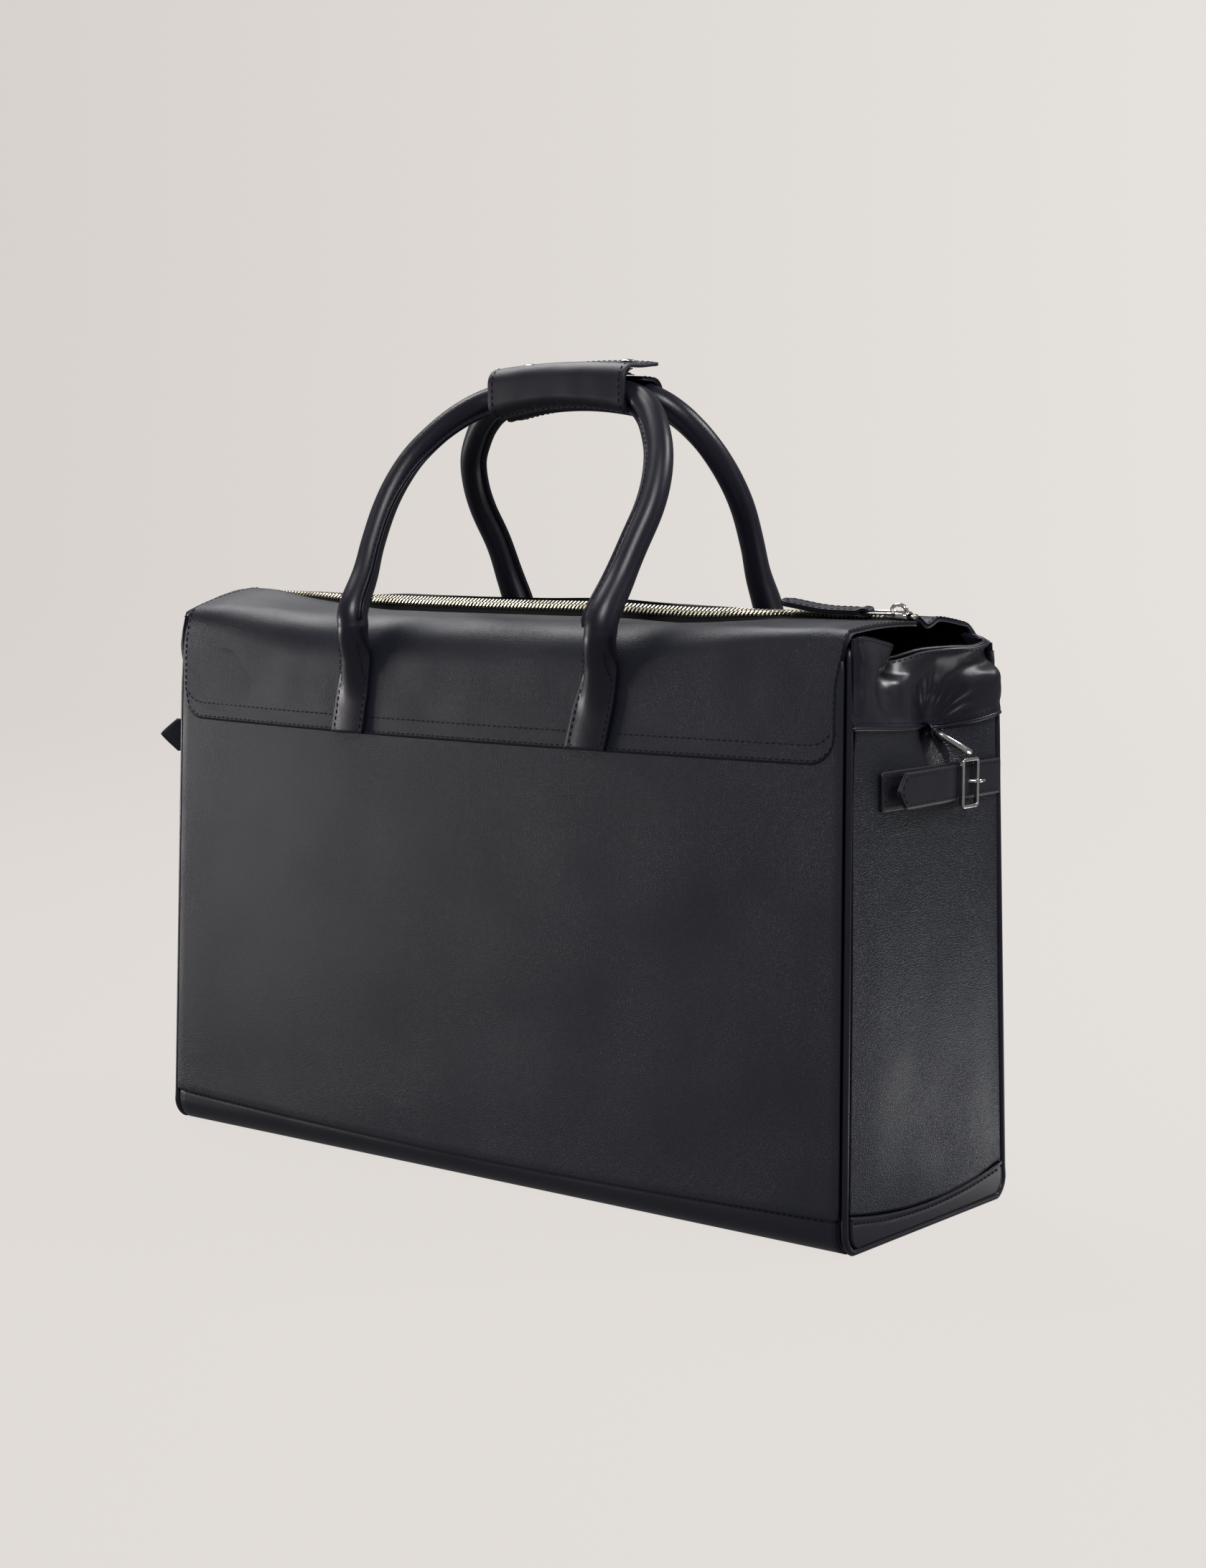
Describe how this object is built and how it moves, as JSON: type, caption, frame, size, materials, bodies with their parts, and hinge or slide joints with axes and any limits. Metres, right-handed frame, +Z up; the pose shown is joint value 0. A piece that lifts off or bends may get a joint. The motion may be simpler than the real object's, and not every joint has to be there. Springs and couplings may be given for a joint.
{
  "type": "garment bag",
  "caption": "Boxy leather holdall for garments with a long top zip between two flaps, rolled handles joined by a grip wrap, and buckled end straps with D-rings.",
  "frame": {"origin": "centre of the base's underside, on the floor", "axes": "+X along the length towards the end with the closed zip slider, -Y towards the front face, +Z up"},
  "size_m": [0.5936, 0.192, 0.5081],
  "materials": {
    "grained_leather": "fine pebbled grain, satin",
    "smooth_leather": "smooth, satin, stitched edges",
    "strap_leather": "smooth, satin, painted edges",
    "handle_leather": "smooth, satin",
    "piping_leather": "smooth, satin",
    "lining": "woven cotton",
    "board": "matt fibre board",
    "zip_tape": "woven tape",
    "zip_metal": "polished, pale gold",
    "nickel": "polished nickel"
  },
  "bodies": {
    "bag": {"front_panel": "grained_leather", "back_panel": "grained_leather", "front_lining": "lining", "back_lining": "lining", "base_wrap": "smooth_leather", "base_board": "board", "right_band": "smooth_leather", "left_band": "smooth_leather", "right_end_panel": "grained_leather", "left_end_panel": "grained_leather", "right_gusset_shaft": "smooth_leather", "left_gusset_shaft": "smooth_leather", "right_piping": "piping_leather", "left_piping": "piping_leather", "front_flap": "grained_leather", "back_flap": "grained_leather", "zip_tape_front": "zip_tape", "zip_tape_back": "zip_tape", "zip_teeth_front": "zip_metal", "zip_teeth_back": "zip_metal", "zip_bottom_stop": "zip_metal", "zip_top_stop": "zip_metal", "front_left_tab": "smooth_leather", "front_right_tab": "smooth_leather", "back_left_tab": "smooth_leather", "back_right_tab": "smooth_leather", "right_fixed_strap": "strap_leather", "left_fixed_strap": "strap_leather", "right_buckle": "nickel", "left_buckle": "nickel", "right_billet": "strap_leather", "left_billet": "strap_leather", "right_ring_loop": "smooth_leather", "left_ring_loop": "smooth_leather"},
    "handle_front": {"front_handle_tube": "handle_leather", "grip_wrap_front": "handle_leather"},
    "handle_back": {"back_handle_tube": "handle_leather", "grip_wrap_back": "handle_leather", "snap_stud_left": "nickel", "snap_stud_right": "nickel"},
    "wrap_lip": {"grip_wrap_lip": "handle_leather", "snap_cap_left": "nickel", "snap_cap_right": "nickel"},
    "zip_slider": {"zip_slider": "nickel"},
    "pull_link": {"pull_link": "nickel"},
    "leather_pull": {"leather_pull": "smooth_leather"},
    "right_prong": {"right_prong": "nickel"},
    "left_prong": {"left_prong": "nickel"},
    "right_ring": {"right_ring": "nickel"},
    "left_ring": {"left_ring": "nickel"},
    "right_billet_tip": {"right_billet_tip": "strap_leather"},
    "left_billet_tip": {"left_billet_tip": "strap_leather"}
  },
  "joints": [
    {"name": "front_handle_swing", "type": "hinge", "parent": "bag", "child": "handle_front", "pos_m": [0, -0.0885, 0.351], "axis": [1, 0, 0], "range_deg": [0, 120]},
    {"name": "back_handle_swing", "type": "hinge", "parent": "bag", "child": "handle_back", "pos_m": [0, 0.0885, 0.351], "axis": [-1, 0, 0], "range_deg": [0, 120]},
    {"name": "wrap_lip_hinge", "type": "hinge", "parent": "handle_front", "child": "wrap_lip", "pos_m": [0, -0.006, 0.5061], "axis": [1, 0, 0], "range_deg": [0, 100]},
    {"name": "zip_slide", "type": "slide", "parent": "bag", "child": "zip_slider", "axis": [-1, 0, 0.0097], "range_m": [0, 0.498]},
    {"name": "pull_link_hinge", "type": "hinge", "parent": "zip_slider", "child": "pull_link", "pos_m": [0.248, -0.00396, 0.35763], "axis": [0, 0.7071, 0.7071], "range_deg": [0, 120]},
    {"name": "leather_pull_hinge", "type": "hinge", "parent": "pull_link", "child": "leather_pull", "pos_m": [0.232, -0.00396, 0.35778], "axis": [0, 0.7071, 0.7071], "range_deg": [0, 25]},
    {"name": "right_prong_hinge", "type": "hinge", "parent": "bag", "child": "right_prong", "pos_m": [0.2761, 0.0291, 0.2587], "axis": [0, 0, -1], "range_deg": [0, 8]},
    {"name": "right_ring_hinge", "type": "hinge", "parent": "bag", "child": "right_ring", "pos_m": [0.26, 0.0262, 0.2868], "axis": [0.6266, -0.7793, 0], "range_deg": [0, 60]},
    {"name": "right_tip_flex", "type": "hinge", "parent": "bag", "child": "right_billet_tip", "pos_m": [0.2814, 0.0024, 0.2587], "axis": [0, 0, 1], "range_deg": [0, 50], "stiffness_Nm_per_rad": 0.02},
    {"name": "left_prong_hinge", "type": "hinge", "parent": "bag", "child": "left_prong", "pos_m": [-0.2761, 0.0046, 0.2587], "axis": [0, 0, 1], "range_deg": [0, 8]},
    {"name": "left_ring_hinge", "type": "hinge", "parent": "bag", "child": "left_ring", "pos_m": [-0.26, 0.0262, 0.2868], "axis": [0.6266, 0.7793, 0], "range_deg": [0, 60]},
    {"name": "left_tip_flex", "type": "hinge", "parent": "bag", "child": "left_billet_tip", "pos_m": [-0.2814, -0.0221, 0.2587], "axis": [0, 0, -1], "range_deg": [0, 50], "stiffness_Nm_per_rad": 0.02}
  ],
  "couplings": [
    {"joint": "back_handle_swing", "follows": "front_handle_swing", "ratio": 1}
  ]
}
